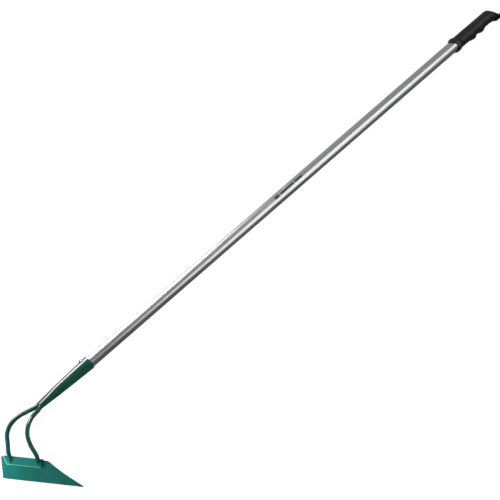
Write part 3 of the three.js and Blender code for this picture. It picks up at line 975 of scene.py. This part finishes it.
def grip_point(turn, s):
    """Point of the skin: s runs from 0 at the mouth to 1 in the middle of the end."""
    closing = max((s - SHOULDER) / (1 - SHOULDER), 0)
    z = min(s / SHOULDER, 1) * (GRIP_LENGTH - END_DEPTH - 4) + (1 - (1 - closing) ** 2) * END_DEPTH
    lip = LIP_BULGE * math.sin(math.pi * min((z + 1.5) / (LIP_LENGTH + 1.5), 1))
    skin = GRIP_R - GRIP_TAPER * smoothstep(z, 20, 110) + lip
    skin += under_height(z) * max(math.sin(turn), 0) ** 2
    skin *= max(1 - closing ** END_ROUND, 0) ** (1 / END_ROUND)
    y = skin * math.sin(turn)
    slant = END_SLANT * y * smoothstep(z, 78, 112)
    return (skin * math.cos(turn), y, GRIP_START + z + mouth_scoop(turn, z) + slant)


def mouth_rings(turns, mouth):
    """Rings that carry the skin's first ring in over a rounded lip to the bore."""
    rings = []
    for share in (0.25, 0.5, 0.75, 1.0):
        ring = []
        for turn, (x, y, z) in zip(turns, mouth):
            radius = math.hypot(x, y) * (1 - share) + BORE_R * share
            height = z - MOUTH_ROUND * math.sin(math.pi * share)
            ring.append((radius * math.cos(turn), radius * math.sin(turn), height))
        rings.append(ring)
    return rings


def make_grip():
    turns = [2 * math.pi * i / GRIP_SIDES for i in range(GRIP_SIDES)]
    body = [k / BODY_RINGS * SHOULDER for k in range(BODY_RINGS)]
    end = [SHOULDER + (1 - SHOULDER) * math.sin(math.pi / 2 * k / END_RINGS) for k in range(END_RINGS)]
    skin = [[grip_point(t, s) for t in turns] for s in body + end]
    rim = mouth_rings(turns, skin[0])
    bore_ends = (GRIP_START + 40, GRIP_START + TUBE_IN_GRIP + 1)
    bore = [turn_ring(BORE_R, z, GRIP_SIDES) for z in bore_ends]
    points, indices = number_rings(bore[::-1] + rim[::-1] + skin)
    faces = bridge(indices) + [indices[0], indices[-1]]
    grip = make_object("moulded_grip", points, faces, handle_frame)
    shade(grip, 60)
    return grip


finish_piece(make_grip(), plastic, "grip_plastic", "grip")

# %% [markdown]
# The grip ends in a flat eye, moulded in one with it, by which the hoe hangs on a nail. It is drawn
# as rays from the middle of its hole: each ray meets the round hole and then the outline, which is
# two straight sides and a half-round end. That gives clean faces all round the hole, which a boolean
# would not.

# %% Hanging eye
EYE = {"thick": 3, "width": 24, "reach": 24, "hole": 11, "drop": 14.8, "root": 13}
EYE_MIDDLE = EYE["reach"] - EYE["width"] / 2  # from the end of the grip to the middle of the hole
EYE_ROOT = EYE["root"] + EYE_MIDDLE  # from the middle of the hole back to the root, inside the grip


def eye_outline(turn):
    """Distance from the middle of the hole to the outline."""
    half = EYE["width"] / 2
    across, onward = abs(math.cos(turn)), math.sin(turn)
    if onward >= 0:
        return half
    return min(half / max(across, 1e-6), EYE_ROOT / -onward)


def make_eye():
    rays = 120
    middle = GRIP_START + GRIP_LENGTH + EYE_MIDDLE
    corner_turn = math.atan2(EYE_ROOT, EYE["width"] / 2)
    turns = sorted([2 * math.pi * i / rays for i in range(rays)]
                   + [math.pi + corner_turn, 2 * math.pi - corner_turn])
    rings = []
    for y in (EYE["drop"], EYE["drop"] + EYE["thick"]):
        for edge in (lambda turn: EYE["hole"] / 2, eye_outline):
            rings.append([(edge(t) * math.cos(t), y, middle + edge(t) * math.sin(t)) for t in turns])
    rings[2], rings[3] = rings[3], rings[2]
    points, indices = number_rings(rings)
    eye = make_object("hanging_eye", points, bridge(indices, closed=True), handle_frame)
    round_edges(eye, 0.7, 4, 50)
    shade(eye)
    return eye


finish_piece(make_eye(), plastic, "grip_plastic")

# %% [markdown]
# ## Floor and light
# A small object on a white sheet needs little: a wide, matt floor and a broad soft light from above
# left. Metal and gloss paint show what is round them, so each job gets lamps of its own. The sky
# light and a small panel by the square end of the blade give the colours their light and are left
# out of reflections. Two panels are seen only in reflections: one draws the bright line along the
# socket, the other the one along the tube. The world is a smooth tent, brighter above than below.
# The floor lights the shadows but isn't reflected, so the underside of the tube stays dark.

# %% Floor
FLOOR_RADIUS = 120
FLOOR_GAP = 0.2  # millimetres under the cutting edge


def make_floor():
    material, tree, shader = start_finish(
        "pale_floor", roughness=0.9, Specular_IOR_Level=0.1, Emission_Strength=0.3,
        Emission_Color=(1, 1, 1, 1))
    tone = spread(tree, noise(tree, own_coordinates(tree), 3, 4), 0, 1)
    tree.links.new(blend_colours(tree, tone, (0.895, 0.895, 0.9), (0.915, 0.915, 0.92)),
                   shader.inputs["Base Color"])
    rings = [turn_ring(radius / MM, 0, 96) for radius in (0.5, 2, 8, 30, FLOOR_RADIUS)]
    points, indices = number_rings(rings)
    place = Matrix.Translation(edge_middle - Vector((0, 0, FLOOR_GAP * MM)))
    floor = make_object("floor", points, bridge(indices) + [indices[0]], place)
    floor.data.materials.append(material)
    floor.visible_glossy = False
    return floor


floor = make_floor()
print("floor of", FLOOR_RADIUS, "m radius")

# %% Tent and lamps
TENT_DIM, TENT_BRIGHT = 0.09, 0.28
LIGHT, SHINE = "diffuse", "glossy"
up = Vector((0, 0, 1))


def make_tent():
    world = bpy.data.worlds.new("tent")
    bpy.context.scene.world = world
    world.use_nodes = True
    tree = world.node_tree
    background = tree.nodes["Background"]
    bright_side = (up * 0.9 - camera_right * 0.4 - towards_camera * 0.2).normalized()
    way = add(tree, "ShaderNodeTexCoord").outputs["Generated"]
    facing = add(tree, "ShaderNodeVectorMath", {0: way, 1: bright_side}, operation="DOT_PRODUCT")
    tent = spread(tree, facing.outputs["Value"], TENT_DIM, TENT_BRIGHT, -0.5, 0.9)
    seen = add(tree, "ShaderNodeLightPath").outputs["Is Camera Ray"]
    strength = add(tree, "ShaderNodeMix", {"Factor": seen, "A": tent, "B": 1.0}).outputs["Result"]
    tree.links.new(strength, background.inputs["Strength"])
    background.inputs["Color"].default_value = (1, 1, 1, 1)


def add_lamp(name, kind, gives, energy, target, way, size):
    """A lamp that stands off its target by way, faces it, and gives either light or shine."""
    lamp = bpy.data.lights.new(name, kind)
    lamp.energy = energy
    if kind == "SUN":
        lamp.angle = math.radians(size)
    else:
        lamp.shape = "RECTANGLE"
        lamp.size, lamp.size_y = size
    obj = bpy.data.objects.new(name, lamp)
    bpy.context.scene.collection.objects.link(obj)
    obj.location = target + way
    obj.rotation_euler = way.to_track_quat("Z", "Y").to_euler()
    obj.visible_camera = False
    obj.visible_diffuse = gives == LIGHT
    obj.visible_glossy = gives == SHINE
    print(f"lamp {name}: {energy}, {gives}")


make_tent()
socket_middle = handle_frame @ Vector((0, 0, SOCKET_LENGTH / 2 * MM))
tube_top = handle_frame @ Vector((0, 0, GRIP_START * MM))
blade_end = sheet_frame @ Vector((BLADE_LEFT * MM, BLADE_HEIGHT / 2 * MM, 0))
from_sky = up * 3 - camera_right * 1.2 + towards_camera * 1.2
from_blade_side = towards_camera * 0.07 - camera_right * 0.2
add_lamp("sky_light", "SUN", LIGHT, 2.4, look_at, from_sky, 50)
add_lamp("blade_panel", "AREA", LIGHT, 1.7, blade_end, from_blade_side, (0.14, 0.14))
add_lamp("head_panel", "AREA", SHINE, 14, socket_middle, Vector((-0.32, -0.22, 0.92)), (0.56, 0.56))
add_lamp("side_panel", "AREA", SHINE, 5.4, tube_top, Vector((1.13, -0.45, 0.04)), (1.0, 1.5))

# %% [markdown]
# ## Finish
# White should stay white, so the picture uses the plain view transform. The finished hoe must not
# be larger than its design.

# %% Finish
bpy.context.scene.view_settings.view_transform = "Standard"
